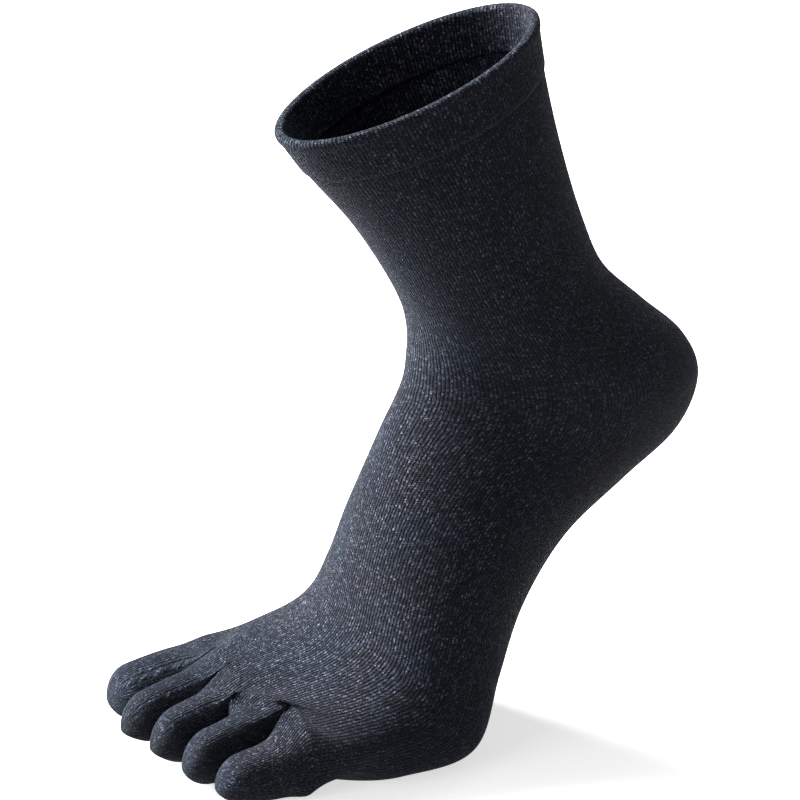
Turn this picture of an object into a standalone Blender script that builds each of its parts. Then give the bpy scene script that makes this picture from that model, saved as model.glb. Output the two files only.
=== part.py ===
"""Left five-toe ankle sock, in the shape that it takes on a foot standing on tiptoe.

Metres. +Z is up, the toes point to -Y and the little toe is on the +X side.
The origin is the centre of the sock's mouth.
The cloth is one tube of sections that fan round the ankle from the mouth to the toe line, where it
divides into five toe tubes. Each piece is a patch of that surface, given its wall by Solidify.
"""

import bpy
import bmesh
import numpy as np

# Driving sizes of the stance, from the ground up and from the longest toe's tip back
MOUTH_HEIGHT = 0.222
STANCE_LENGTH = 0.199

# Widths across the sock
MOUTH_WIDTH = 0.0575
ANKLE_WIDTH = 0.063
BALL_WIDTH = 0.092

# Toe sizes: from the longest tip back to the toe line, and the height of a toe's knuckle
TOE_REACH = 0.040
TOE_HEIGHT = 0.022

# Cloth
CLOTH_WALL = 0.0013
WELT_WALL = 0.0024
WELT_STEP = 0.0005
WELT_HEIGHT = 0.0155
SEAM_GAP = 0.0003
TOE_SEAM_GAP = 0.0006
RIM_ROUNDING = 0.0009

# Mesh density: rows in each piece. Its columns are the toes' columns, over the top and under the sole
ROWS = {"welt": 5, "leg": 11, "heel": 8, "foot": 19, "toe": 10}
WEB_STEPS = 3
RIM_SEGMENTS = 2

CLOTH_COLOUR = (0.022, 0.026, 0.040, 1.0)
CLOTH_ROUGHNESS = 0.95

# Sections from the mouth to the toe line.
# front_y, back_y: shares of STANCE_LENGTH behind the longest toe's tip
# front_z, back_z: shares of MOUTH_HEIGHT above the ground
# side: share of BALL_WIDTH from the leg's middle plane towards the little toe
# follows, width: the width that the section follows, and its share of it
# top_round, sole_round: 2 is an ellipse, more is squarer
SECTION_COLUMNS = (
    "front_y", "front_z", "back_y", "back_z", "side", "follows", "width", "top_round", "sole_round"
)
SECTIONS = {
    "mouth": (0.234, 0.919, 0.648, 1.081, 0.000, MOUTH_WIDTH, 1.000, 2.0, 2.0),
    "welt": (0.286, 0.860, 0.668, 0.998, 0.000, ANKLE_WIDTH, 0.968, 2.0, 2.0),
    "leg": (0.364, 0.784, 0.702, 0.895, 0.000, ANKLE_WIDTH, 0.990, 2.0, 2.0),
    "shin": (0.427, 0.706, 0.746, 0.791, 0.000, ANKLE_WIDTH, 0.990, 2.0, 2.0),
    "ankle": (0.466, 0.645, 0.799, 0.701, 0.000, ANKLE_WIDTH, 1.000, 2.0, 2.0),
    "ankle_low": (0.479, 0.600, 0.888, 0.631, 0.000, ANKLE_WIDTH, 1.016, 2.0, 2.0),
    "heel_top": (0.478, 0.562, 0.967, 0.573, 0.000, ANKLE_WIDTH, 1.016, 2.0, 2.0),
    "heel_back": (0.473, 0.528, 1.001, 0.509, 0.000, ANKLE_WIDTH, 0.997, 2.0, 2.0),
    "heel_low": (0.459, 0.495, 0.971, 0.431, 0.000, ANKLE_WIDTH, 0.978, 2.0, 1.95),
    "arch_back": (0.440, 0.460, 0.874, 0.365, 0.010, ANKLE_WIDTH, 0.990, 2.0, 1.9),
    "arch": (0.416, 0.403, 0.758, 0.290, 0.022, BALL_WIDTH, 0.715, 2.0, 1.9),
    "instep": (0.388, 0.328, 0.672, 0.195, 0.033, BALL_WIDTH, 0.793, 2.0, 2.0),
    "waist": (0.367, 0.250, 0.616, 0.096, 0.038, BALL_WIDTH, 0.890, 2.0, 2.3),
    "ball_back": (0.347, 0.193, 0.545, 0.004, 0.048, BALL_WIDTH, 0.990, 2.05, 3.2),
    "ball": (0.300, 0.153, 0.390, 0.000, 0.052, BALL_WIDTH, 1.025, 2.0, 4.2),
    "toe_line": (0.200, 0.124, 0.206, 0.000, 0.030, BALL_WIDTH, 0.985, 2.0, 4.6),
}

# Toes from the big toe to the little toe.
# inner, outer: sides of the toe's root, and tip_side: its tip, as shares of BALL_WIDTH from the leg's middle
# inner_line, outer_line: the toe line at those sides, and tip: the tip, as shares of TOE_REACH behind the
# longest tip
# middle_width, tip_width: shares of BALL_WIDTH
# root_top, knuckle_top, tip_top, tip_lift, inner_web, outer_web: heights, as shares of TOE_HEIGHT
# columns: columns of the surface over the toe's top
TOE_COLUMNS = (
    "inner", "outer", "tip_side", "inner_line", "outer_line", "tip", "middle_width", "tip_width",
    "root_top", "knuckle_top", "tip_top", "tip_lift", "inner_web", "outer_web", "columns",
)
TOES = {
    "big_toe": (-0.462, -0.207, -0.272, 1.100, 0.950, 0.075, 0.245, 0.223, 0.97, 0.89, 0.76, 0.10, 0.62, 1.12, 6),
    "second_toe": (-0.207, -0.022, -0.049, 0.950, 0.885, 0.000, 0.170, 0.157, 1.24, 0.98, 0.77, 0.28, 1.12, 1.25, 4),
    "third_toe": (-0.022, 0.147, 0.112, 0.885, 0.780, 0.113, 0.159, 0.151, 1.22, 0.98, 0.76, 0.25, 1.25, 1.13, 4),
    "fourth_toe": (0.147, 0.299, 0.268, 0.780, 1.130, 0.250, 0.151, 0.151, 1.20, 0.90, 0.72, 0.09, 1.13, 1.19, 4),
    "little_toe": (0.299, 0.515, 0.424, 1.130, 1.150, 0.388, 0.168, 0.152, 1.11, 0.80, 0.64, 0.12, 1.19, 0.62, 5),
}

# The heel pocket: its edges and gore in rows of SECTIONS, and its corner in columns past the side seam
HEEL_GORE_ROW = 7.2
HEEL_TOP_ROW = 5.0
HEEL_SOLE_ROW = 9.5
HEEL_FULLNESS = 0.8
HEEL_CORNER_COLUMNS = 2
HEEL_CORNER_SHARE = 0.12

# The toe line's scallops start this many rows behind the last section and deepen by this power
SCALLOP_ROWS = 1.0
SCALLOP_POWER = 2.2

# Toe line: the sole's clefts, as a share of TOE_HEIGHT, and the fullness of the arches over and under a toe
SOLE_CLEFT = 0.16
ARCH_POWER = 0.9
UNDER_POWER = 0.45

# Toe tube: its roundness, the angle of its webs' ends above and below the middle, its tip's length and
# fullness, its row crowding and where the root's ring ends
TOE_ROUND = 2.3
WEB_ANGLE = np.radians(50)
TIP_CAP = 0.0085
TIP_CAP_MOST = 0.46
TIP_POWER = 2.2
TIP_HEART = 0.46
ROW_CROWDING = 1.25
TOE_BLEND = 0.4

# Changes along a toe. start, end: shares of its length from the root. power: how late the change gathers
TOE_CHANGES = {
    "root_sinking": (0.55, 0.0, 1.6),
    "top_drooping": (0.45, 1.0, 1.5),
    "sole_lifting": (0.35, 1.0, 1.5),
    "to_middle_width": (0.0, 0.5, 1.0),
    "to_tip_width": (0.5, 1.0, 1.0),
    "to_heart": (0.4, 1.0, 1.0),
}

# Small steps: in rows, for measuring the surface, and in columns, for staying on one toe
ROW_STEP = 0.02
COLUMN_STEP = 1e-6


def section_table():
    """Sections as rows of metres: front y, z, back y, z, middle x, half width, and the two roundings."""
    rows = []
    for values in SECTIONS.values():
        row = dict(zip(SECTION_COLUMNS, values))
        rows.append((
            row["front_y"] * STANCE_LENGTH,
            row["front_z"] * MOUTH_HEIGHT,
            row["back_y"] * STANCE_LENGTH,
            row["back_z"] * MOUTH_HEIGHT,
            row["side"] * BALL_WIDTH,
            row["width"] * row["follows"] / 2,
            row["top_round"],
            row["sole_round"],
        ))
    return np.array(rows)


def toe_table():
    """Toes as a dictionary of columns in metres."""
    table = {name: np.array([row[i] for row in TOES.values()], float) for i, name in enumerate(TOE_COLUMNS)}
    for name in ("inner", "outer", "tip_side", "middle_width", "tip_width"):
        table[name] = table[name] * BALL_WIDTH
    for name in ("inner_line", "outer_line", "tip"):
        table[name] = table[name] * TOE_REACH
    for name in ("root_top", "knuckle_top", "tip_top", "tip_lift", "inner_web", "outer_web"):
        table[name] = table[name] * TOE_HEIGHT
    return table


SECTION_ROWS = section_table()
TOE_ROWS = toe_table()
LAST_ROW = len(SECTION_ROWS) - 1
TOE_STARTS = np.concatenate([[0], np.cumsum(TOE_ROWS["columns"])])
HALF_ROUND = int(TOE_STARTS[-1])
HEEL_CORNER = HALF_ROUND + HEEL_CORNER_COLUMNS
ORIGIN = np.array([
    SECTION_ROWS[0, 4],
    (SECTION_ROWS[0, 0] + SECTION_ROWS[0, 2]) / 2,
    (SECTION_ROWS[0, 1] + SECTION_ROWS[0, 3]) / 2,
])


def smooth_step(share):
    """0 to 1 along a curve that starts and ends level."""
    share = np.clip(share, 0, 1)
    return share * share * (3 - 2 * share)


def change(name, share):
    """How much of a named change a toe has gone through at a share of its length."""
    start, end, power = TOE_CHANGES[name]
    return np.clip((share - start) / (end - start), 0, 1) ** power


def sections_at(row):
    """The section values at a fractional row, on a smooth curve through the table (Catmull-Rom)."""
    row = np.clip(row, 0, LAST_ROW)
    i = np.clip(row.astype(int), 0, LAST_ROW - 1)
    t = (row - i)[..., None]
    here, after = SECTION_ROWS[i], SECTION_ROWS[i + 1]
    before = np.where((i == 0)[..., None], 2 * here - after, SECTION_ROWS[np.maximum(i - 1, 0)])
    last = (i == LAST_ROW - 1)[..., None]
    beyond = np.where(last, 2 * after - here, SECTION_ROWS[np.minimum(i + 2, LAST_ROW)])
    square = 2 * before - 5 * here + 4 * after - beyond
    cube = 3 * here - before - 3 * after + beyond
    return 0.5 * (2 * here + (after - before) * t + square * t**2 + cube * t**3)


def plain_tube(row, column):
    """A point of the tube without toes. Columns run from the inner side over the instep and back under the sole."""
    front_y, front_z, back_y, back_z, middle, half, top_round, sole_round = np.moveaxis(sections_at(row), -1, 0)
    angle = np.pi * column / HALF_ROUND
    across, back = -np.cos(angle), -np.sin(angle)
    power = np.where(back < 0, top_round, sole_round)
    radius = (np.abs(across) ** power + np.abs(back) ** power) ** (-1 / power)
    across, back = across * radius, back * radius
    return np.stack([
        middle + across * half,
        (front_y + back_y) / 2 + back * (back_y - front_y) / 2,
        (front_z + back_z) / 2 + back * (back_z - front_z) / 2,
    ], axis=-1)


def toe_line(column):
    """The scalloped edge where the foot divides: one arch over and one under each toe.

    An arch meets a web at a slope, and it stands upright at the foot's own sides.
    """
    column = np.mod(column, 2 * HALF_ROUND)
    over = column <= HALF_ROUND
    across = np.where(over, column, 2 * HALF_ROUND - column)
    k = np.clip(np.searchsorted(TOE_STARTS, across, side="right") - 1, 0, len(TOES) - 1)
    toe = {name: values[k] for name, values in TOE_ROWS.items()}
    share = np.clip((across - TOE_STARTS[k]) / toe["columns"], 0, 1)
    side_share = (1 - np.cos(np.pi * share)) / 2
    side = toe["inner"] + (toe["outer"] - toe["inner"]) * side_share
    depth = toe["inner_line"] + (toe["outer_line"] - toe["inner_line"]) * share
    outside = np.where(share < 0.5, k == 0, k == len(TOES) - 1)
    arch = np.clip(np.sin(np.pi * np.where(outside, share, side_share)), 0, 1)
    web_top = np.where(share < 0.5, toe["inner_web"], toe["outer_web"])
    top = web_top + (toe["root_top"] - web_top) * arch**ARCH_POWER
    cleft = SOLE_CLEFT * TOE_HEIGHT
    inner_cleft = np.where(k == 0, toe["inner_web"], cleft)
    outer_cleft = np.where(k == len(TOES) - 1, toe["outer_web"], cleft)
    bottom = np.where(share < 0.5, inner_cleft, outer_cleft) * (1 - arch**UNDER_POWER)
    return np.stack([side, depth, np.where(over, top, bottom)], axis=-1)


def tube(row, column):
    """A point of the whole tube: the plain tube, bent into the toe line's scallops at its end."""
    row, column = np.broadcast_arrays(np.asarray(row, float), np.asarray(column, float))
    end = toe_line(column) - plain_tube(np.full_like(row, LAST_ROW), column)
    share = np.clip((row - (LAST_ROW - SCALLOP_ROWS)) / SCALLOP_ROWS, 0, 1)[..., None]
    return plain_tube(row, column) + end * share**SCALLOP_POWER


def rows_for(length, row, column):
    """How many rows a length takes up along the tube at that place."""
    stretch = np.linalg.norm(tube(row + ROW_STEP, column) - tube(row - ROW_STEP, column), axis=-1)
    return length * 2 * ROW_STEP / stretch


def heel_spread(column):
    """0 over the instep, rising to 1 at the middle of the heel, in straight runs from column to column."""
    whole = np.arange(2 * HALF_ROUND)
    share = (whole - HEEL_CORNER) / (1.5 * HALF_ROUND - HEEL_CORNER)
    other = (3 * HALF_ROUND - HEEL_CORNER - whole) / (1.5 * HALF_ROUND - HEEL_CORNER)
    spread = np.sin(np.pi / 2 * np.clip(np.minimum(share, other), 0, 1)) ** HEEL_FULLNESS
    return np.interp(column, whole, spread)


def heel_top(column):
    return HEEL_GORE_ROW - (HEEL_GORE_ROW - HEEL_TOP_ROW) * heel_spread(column)


def heel_sole(column):
    return HEEL_GORE_ROW + (HEEL_SOLE_ROW - HEEL_GORE_ROW) * heel_spread(column)


def patch(first, last, columns, count, first_gap=0.0, last_gap=0.0):
    """Rows of points between two row curves, each drawn in by half a seam gap where it meets a neighbour."""
    first = first + rows_for(first_gap, first, columns)
    last = last - rows_for(last_gap, last, columns)
    share = np.linspace(0, 1, count + 1)[:, None]
    return tube(first + (last - first) * share, columns[None, :])


def toe_ring(k):
    """The ring at a toe's root, as points and the angle that each takes on the toe's round tube."""
    start, end = TOE_STARTS[k], TOE_STARTS[k + 1]
    columns = np.linspace(start + COLUMN_STEP, end - COLUMN_STEP, int(end - start) + 1)
    over = toe_line(columns)
    under = toe_line(2 * HALF_ROUND - columns[::-1])
    inner = np.pi - WEB_ANGLE if k > 0 else np.pi
    outer = WEB_ANGLE if k < len(TOES) - 1 else 0.0
    turn = np.linspace(0, 1, len(columns))
    web = np.linspace(0, 1, WEB_STEPS + 1)
    sides = [(over, inner + (outer - inner) * turn)]
    if k < len(TOES) - 1:
        sides += [(over[-1] + (under[0] - over[-1]) * web[:, None], outer - 2 * outer * web)]
    sides += [(under, -outer - (inner - outer) * turn)]
    if k > 0:
        sides += [(under[-1] + (over[0] - under[-1]) * web[:, None], -inner - 2 * (np.pi - inner) * web)]
    points = np.vstack([side[:-1] for side, _ in sides])
    return points, np.concatenate([angles[:-1] for _, angles in sides])


def toe_grid(k):
    """A toe tube: its root ring turning into a rounded tube that sinks to the tip and closes there."""
    toe = {name: values[k] for name, values in TOE_ROWS.items()}
    ring, angle = toe_ring(k)
    middle = (toe["inner"] + toe["outer"]) / 2
    line = (toe["inner_line"] + toe["outer_line"]) / 2
    root_width = toe["outer"] - toe["inner"]
    ring[:, 0] = middle + (ring[:, 0] - middle) * (1 - 2 * SEAM_GAP / root_width)
    length = line - toe["tip"]
    share = 1 - (1 - np.linspace(TOE_SEAM_GAP / length, 1, ROWS["toe"] + 1)) ** ROW_CROWDING
    share = share[:, None]
    cap = min(TIP_CAP_MOST, TIP_CAP / length)
    closing = np.sqrt(1 - np.clip((share - (1 - cap)) / cap, 0, 1) ** TIP_POWER)
    top = toe["knuckle_top"]
    top = top + (toe["root_top"] - toe["knuckle_top"]) * change("root_sinking", share)
    top = top - (toe["knuckle_top"] - toe["tip_top"]) * change("top_drooping", share)
    bottom = toe["tip_lift"] * change("sole_lifting", share)
    width = root_width + (toe["middle_width"] - root_width) * change("to_middle_width", share)
    width = width + (toe["tip_width"] - toe["middle_width"]) * change("to_tip_width", share)
    heart = (top + bottom) / 2
    heart = heart + (TIP_HEART * toe["tip_top"] - heart) * change("to_heart", share)
    radius = (np.abs(np.cos(angle)) ** TOE_ROUND + np.abs(np.sin(angle)) ** TOE_ROUND) ** (-1 / TOE_ROUND)
    across, up = np.cos(angle) * radius, np.sin(angle) * radius
    drift = (toe["tip_side"] - middle) * share
    advance = (toe["tip"] - line) * share
    rounded = np.stack([
        middle + drift + width / 2 * closing * across,
        line + advance + 0 * across,
        heart + np.where(up > 0, top - heart, heart - bottom) * closing * up,
    ], axis=-1)
    lowered = ring[:, 2] * (top / toe["root_top"] - 1)
    root = ring[None] + np.stack([drift + 0 * across, advance + 0 * across, lowered], axis=-1)
    blend = smooth_step(share / TOE_BLEND)[..., None]
    return root * (1 - blend) + rounded * blend


def cloth_material(name):
    material = bpy.data.materials.new(name)
    material.use_nodes = True
    shader = material.node_tree.nodes["Principled BSDF"]
    shader.inputs["Base Color"].default_value = CLOTH_COLOUR
    shader.inputs["Roughness"].default_value = CLOTH_ROUGHNESS
    shader.inputs["Metallic"].default_value = 0.0
    material.diffuse_color = CLOTH_COLOUR
    return material


def cloth_piece(collection, name, points, wall, round_trip):
    """A grid of points as an open sheet of cloth with its wall on the inside."""
    rows, columns = points.shape[:2]
    spans = columns if round_trip else columns - 1
    i = np.arange(rows - 1)[:, None]
    j = np.arange(spans)[None, :]
    corner = i * columns + j
    beside = i * columns + (j + 1) % columns
    faces = np.stack([corner, corner + columns, beside + columns, beside], axis=-1).reshape(-1, 4)
    mesh = bpy.data.meshes.new(name)
    mesh.from_pydata((points.reshape(-1, 3) - ORIGIN).tolist(), [], faces.tolist())
    work = bmesh.new()
    work.from_mesh(mesh)
    bmesh.ops.remove_doubles(work, verts=work.verts, dist=1e-6)
    work.to_mesh(mesh)
    work.free()
    mesh.shade_smooth()
    mesh.materials.append(cloth_material(name))
    piece = bpy.data.objects.new(name, mesh)
    collection.objects.link(piece)
    solidify = piece.modifiers.new("wall", "SOLIDIFY")
    solidify.thickness = wall
    solidify.offset = -1.0
    solidify.use_quality_normals = True
    return piece


def make_welt(collection):
    """The turned band: twice as thick as the cloth, standing a little proud of the leg."""
    columns = np.arange(2 * HALF_ROUND, dtype=float)
    lower = rows_for(WELT_HEIGHT, np.full_like(columns, 0.5), columns)
    points = patch(np.zeros_like(columns), lower, columns, ROWS["welt"])
    centre = points.mean(axis=1, keepdims=True)
    outward = points - centre
    points = points + outward / np.linalg.norm(outward, axis=-1, keepdims=True) * WELT_STEP
    piece = cloth_piece(collection, "welt", points, WELT_WALL, True)
    bevel = piece.modifiers.new("rolled rim", "BEVEL")
    bevel.width = RIM_ROUNDING
    bevel.segments = RIM_SEGMENTS
    bevel.limit_method = "ANGLE"
    bevel.angle_limit = np.radians(60)
    return piece


def make_leg(collection):
    """The plain tube from the welt to the ankle, cut away behind for the heel pocket."""
    columns = np.arange(2 * HALF_ROUND, dtype=float)
    start = rows_for(WELT_HEIGHT, np.full_like(columns, 0.5), columns)
    points = patch(start, heel_top(columns), columns, ROWS["leg"], SEAM_GAP, SEAM_GAP / 2)
    return cloth_piece(collection, "leg", points, CLOTH_WALL, True)


def make_heel(collection):
    """The pocket between the leg and the sole, narrowing to the gore's ends at both sides of the ankle."""
    first, last = HEEL_CORNER, 3 * HALF_ROUND - HEEL_CORNER
    inner = np.arange(first + 1, last, dtype=float)
    columns = np.concatenate([[first + HEEL_CORNER_SHARE], inner, [last - HEEL_CORNER_SHARE]])
    points = patch(heel_top(columns), heel_sole(columns), columns, ROWS["heel"], SEAM_GAP / 2, SEAM_GAP / 2)
    return cloth_piece(collection, "heel", points, CLOTH_WALL, False)


def make_foot(collection):
    """The instep and sole, from the ankle and the heel pocket to the toe line."""
    columns = np.arange(2 * HALF_ROUND, dtype=float)
    end = np.full_like(columns, LAST_ROW)
    points = patch(heel_sole(columns), end, columns, ROWS["foot"], SEAM_GAP / 2, SEAM_GAP / 2)
    return cloth_piece(collection, "foot", points, CLOTH_WALL, True)


def make_toes(collection):
    for k, name in enumerate(TOES):
        cloth_piece(collection, name, toe_grid(k), CLOTH_WALL, True)


def main():
    for thing in list(bpy.data.objects):
        bpy.data.objects.remove(thing, do_unlink=True)
    collection = bpy.data.collections.new("five_toe_sock")
    bpy.context.scene.collection.children.link(collection)
    make_welt(collection)
    make_leg(collection)
    make_heel(collection)
    make_foot(collection)
    make_toes(collection)


main()
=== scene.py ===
# %% [markdown]
# # A five-toe ankle sock in fine jersey
#
# The sock is one knitted tube that divides into five toe tubes. This script draws it as finely as a
# close photograph would show it. The cloth is a set of smooth surfaces, each a function of a row and a
# column. Its stitches are drawn by the material, which reads the same rows and columns as wales and courses.

import bpy
import numpy as np
from mathutils import Matrix, Vector


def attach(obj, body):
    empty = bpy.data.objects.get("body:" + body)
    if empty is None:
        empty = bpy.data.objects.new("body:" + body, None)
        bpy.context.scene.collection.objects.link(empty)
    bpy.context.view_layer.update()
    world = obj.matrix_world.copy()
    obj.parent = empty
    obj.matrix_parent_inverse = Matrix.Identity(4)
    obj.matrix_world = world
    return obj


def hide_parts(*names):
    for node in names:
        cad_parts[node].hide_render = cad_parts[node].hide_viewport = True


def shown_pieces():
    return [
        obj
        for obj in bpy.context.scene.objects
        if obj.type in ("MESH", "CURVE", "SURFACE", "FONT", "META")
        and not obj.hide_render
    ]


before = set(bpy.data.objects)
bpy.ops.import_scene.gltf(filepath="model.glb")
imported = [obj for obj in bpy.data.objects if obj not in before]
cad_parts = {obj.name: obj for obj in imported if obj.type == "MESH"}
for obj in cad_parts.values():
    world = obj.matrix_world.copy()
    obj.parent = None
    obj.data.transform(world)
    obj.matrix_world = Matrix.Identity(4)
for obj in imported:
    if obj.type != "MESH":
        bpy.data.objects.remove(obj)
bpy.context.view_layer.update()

# %% [markdown]
# ## Sizes
#
# The lengths are in metres. The sock stands as it does on a foot on tiptoe, so its height and its length on
# the ground are the two sizes that set the stance. Widths are named apart, because each could change alone.

# %% Sizes
MOUTH_HEIGHT = 0.222
STANCE_LENGTH = 0.199
MOUTH_WIDTH = 0.0575
ANKLE_WIDTH = 0.063
BALL_WIDTH = 0.092
TOE_REACH = 0.040
TOE_HEIGHT = 0.022

CLOTH_WALL = 0.0012
FOOT_WALL = 0.0005
WELT_STEP = 0.0006
WELT_HEIGHT = 0.0155
RIM_RADIUS = 0.0013

WALES_ROUND = 184
COURSE_PITCH = 0.00078

# %% [markdown]
# ## The tube's sections
#
# A leg turns into a foot without an edge, so the sections fan round the ankle like the pages of a book. Each
# one runs from a front point to a back point, has a width, and is rounder or squarer over and under. Lengths
# are shares of the sizes above, so that a change of size carries every section with it.

# %% Section table
SECTION_COLUMNS = (
    "front_y", "front_z", "back_y", "back_z", "side", "follows", "width", "top_round", "sole_round"
)
SECTIONS = {
    "mouth": (0.234, 0.919, 0.648, 1.081, 0.000, MOUTH_WIDTH, 1.000, 2.0, 2.0),
    "welt": (0.286, 0.860, 0.668, 0.998, 0.000, ANKLE_WIDTH, 0.968, 2.0, 2.0),
    "leg": (0.364, 0.784, 0.702, 0.895, 0.000, ANKLE_WIDTH, 0.990, 2.0, 2.0),
    "shin": (0.427, 0.706, 0.746, 0.791, 0.000, ANKLE_WIDTH, 0.990, 2.0, 2.0),
    "ankle": (0.466, 0.645, 0.799, 0.701, 0.000, ANKLE_WIDTH, 1.000, 2.0, 2.0),
    "ankle_low": (0.479, 0.600, 0.888, 0.631, 0.000, ANKLE_WIDTH, 1.016, 2.0, 2.0),
    "heel_top": (0.478, 0.562, 0.967, 0.573, 0.000, ANKLE_WIDTH, 1.016, 2.0, 2.0),
    "heel_back": (0.473, 0.528, 1.001, 0.509, 0.000, ANKLE_WIDTH, 0.997, 2.0, 2.0),
    "heel_low": (0.459, 0.495, 0.971, 0.431, 0.000, ANKLE_WIDTH, 0.978, 2.0, 1.95),
    "arch_back": (0.440, 0.460, 0.874, 0.365, 0.010, ANKLE_WIDTH, 0.990, 2.0, 1.9),
    "arch": (0.416, 0.403, 0.758, 0.290, 0.022, BALL_WIDTH, 0.715, 2.0, 1.9),
    "instep": (0.388, 0.328, 0.672, 0.195, 0.033, BALL_WIDTH, 0.793, 2.0, 2.0),
    "waist": (0.367, 0.250, 0.616, 0.096, 0.038, BALL_WIDTH, 0.890, 2.0, 2.3),
    "ball_back": (0.347, 0.193, 0.545, 0.004, 0.048, BALL_WIDTH, 0.990, 2.05, 3.2),
    "ball": (0.300, 0.153, 0.390, 0.000, 0.052, BALL_WIDTH, 1.025, 2.0, 4.2),
    "toe_line": (0.200, 0.124, 0.206, 0.000, 0.030, BALL_WIDTH, 0.985, 2.0, 4.6),
}
FOLLOWED = {
    "front_y": STANCE_LENGTH,
    "front_z": MOUTH_HEIGHT,
    "back_y": STANCE_LENGTH,
    "back_z": MOUTH_HEIGHT,
    "side": BALL_WIDTH,
}


def section_rows():
    """Sections as rows of metres: front y, z, back y, z, middle x, half width, and the two roundings."""
    table = {name: np.array([row[i] for row in SECTIONS.values()]) for i, name in enumerate(SECTION_COLUMNS)}
    lengths = [table[name] * size for name, size in FOLLOWED.items()]
    half = table["width"] * table["follows"] / 2
    return np.stack([*lengths, half, table["top_round"], table["sole_round"]], axis=1)


SECTION_ROWS = section_rows()
LAST_ROW = len(SECTION_ROWS) - 1
ORIGIN = np.array([0, SECTION_ROWS[0, [0, 2]].mean(), SECTION_ROWS[0, [1, 3]].mean()])
print(LAST_ROW + 1, "sections, mouth centre", ORIGIN.round(4))

# %% [markdown]
# ## The toes
#
# Each toe tube is knitted on from its share of the foot's stitches. The table gives its sides, where it
# starts and ends, how high its root, its knuckle and its tip stand, and how high the webs beside it reach.

# %% Toe table
TOE_COLUMNS = (
    "inner", "outer", "tip_side", "inner_line", "outer_line", "tip", "middle_width", "tip_width",
    "root_top", "knuckle_top", "tip_top", "tip_lift", "inner_web", "outer_web", "columns",
)
TOES = {
    "big_toe": (
        -0.462, -0.207, -0.272, 1.100, 0.950, 0.075, 0.245, 0.223,
        0.97, 0.89, 0.76, 0.10, 0.62, 1.12, 6,
    ),
    "second_toe": (
        -0.207, -0.022, -0.049, 0.950, 0.885, 0.000, 0.170, 0.157,
        1.24, 0.98, 0.77, 0.28, 1.12, 1.25, 4,
    ),
    "third_toe": (
        -0.022, 0.147, 0.112, 0.885, 0.780, 0.113, 0.159, 0.151,
        1.22, 0.98, 0.76, 0.25, 1.25, 1.13, 4,
    ),
    "fourth_toe": (
        0.147, 0.299, 0.268, 0.780, 1.130, 0.250, 0.151, 0.151,
        1.20, 0.90, 0.72, 0.09, 1.13, 1.19, 4,
    ),
    "little_toe": (
        0.299, 0.515, 0.424, 1.130, 1.150, 0.388, 0.168, 0.152,
        1.11, 0.80, 0.64, 0.12, 1.19, 0.62, 5,
    ),
}
TOE_FOLLOWED = (BALL_WIDTH,) * 3 + (TOE_REACH,) * 3 + (BALL_WIDTH,) * 2 + (TOE_HEIGHT,) * 6 + (1,)
TOE_ROWS = dict(zip(TOE_COLUMNS, np.array(list(TOES.values())).T * np.array(TOE_FOLLOWED)[:, None]))
TOE_STARTS = np.concatenate([[0], np.cumsum(TOE_ROWS["columns"])])
HALF_ROUND = int(TOE_STARTS[-1])
print(2 * HALF_ROUND, "columns round the tube")

# %% [markdown]
# ## The surface as a function
#
# A smooth curve through the table gives the section at any fractional row. A superellipse gives the point at
# any fractional column. The last row is bent into one arch over and one under each toe, which is the line
# where the toes start.

# %% Tube surface
SCALLOP_ROWS = 1.0
SCALLOP_POWER = 2.2
SOLE_CLEFT = 0.16
ARCH_POWER = 0.9
UNDER_POWER = 0.45
STEP = 0.02


def sections_at(row):
    """The section at a fractional row: a Catmull-Rom curve through each value's four nearest rows."""
    row = np.clip(row, 0, LAST_ROW)
    i = np.clip(row.astype(int), 0, LAST_ROW - 1)
    t = (row - i)[..., None]
    here, after = SECTION_ROWS[i], SECTION_ROWS[i + 1]
    before = np.where((i == 0)[..., None], 2 * here - after, SECTION_ROWS[np.maximum(i - 1, 0)])
    last = (i == LAST_ROW - 1)[..., None]
    beyond = np.where(last, 2 * after - here, SECTION_ROWS[np.minimum(i + 2, LAST_ROW)])
    square = 2 * before - 5 * here + 4 * after - beyond
    cube = 3 * here - before - 3 * after + beyond
    return 0.5 * (2 * here + (after - before) * t + square * t**2 + cube * t**3)


def plain_tube(row, column):
    """middle + superellipse x half sizes. Column 0 is the inner side and HALF_ROUND the outer one."""
    section = np.moveaxis(sections_at(row), -1, 0)
    front_y, front_z, back_y, back_z, middle, half, top_round, sole_round = section
    angle = np.pi * column / HALF_ROUND
    across, back = -np.cos(angle), -np.sin(angle)
    power = np.where(back < 0, top_round, sole_round)
    radius = (np.abs(across) ** power + np.abs(back) ** power) ** (-1 / power)
    across, back = across * radius, back * radius
    y = (front_y + back_y) / 2 + back * (back_y - front_y) / 2
    z = (front_z + back_z) / 2 + back * (back_z - front_z) / 2
    return np.stack([middle + across * half, y, z], axis=-1)


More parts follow.
